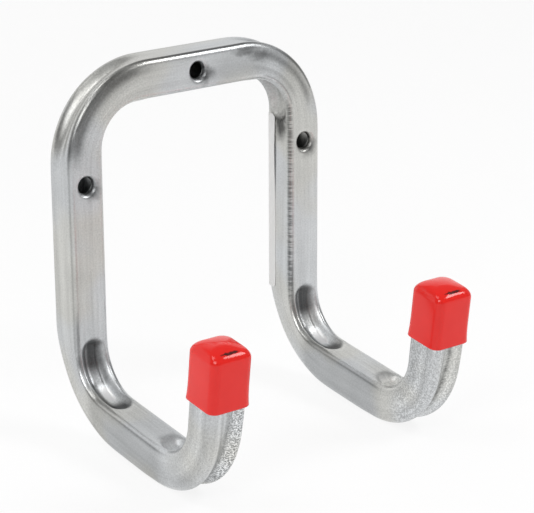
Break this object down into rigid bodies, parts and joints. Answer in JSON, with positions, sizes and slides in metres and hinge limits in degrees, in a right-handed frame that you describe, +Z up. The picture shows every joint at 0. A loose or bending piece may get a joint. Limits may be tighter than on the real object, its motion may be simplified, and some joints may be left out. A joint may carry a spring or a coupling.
{
  "type": "utility hook",
  "caption": "Double wall hook bent from one square steel tube: an inverted U that screws flat to a wall, with arms that run forward and turn up into capped uprights.",
  "frame": {"origin": "where the axis of the top screw hole meets the wall, behind the middle of the tube's top run", "axes": "+Z up the wall, +Y into the wall, so that the hooks reach towards -Y, and +X to the right as seen from the front; x = 0 is the plane of symmetry"},
  "size_m": [0.158, 0.1429, 0.1894],
  "materials": {
    "galvanised_steel": "satin zinc coating",
    "red_vinyl": "glossy soft vinyl"
  },
  "bodies": {
    "root": {"hook_tube": "galvanised_steel", "left_cap": "red_vinyl", "right_cap": "red_vinyl"}
  },
  "joints": []
}
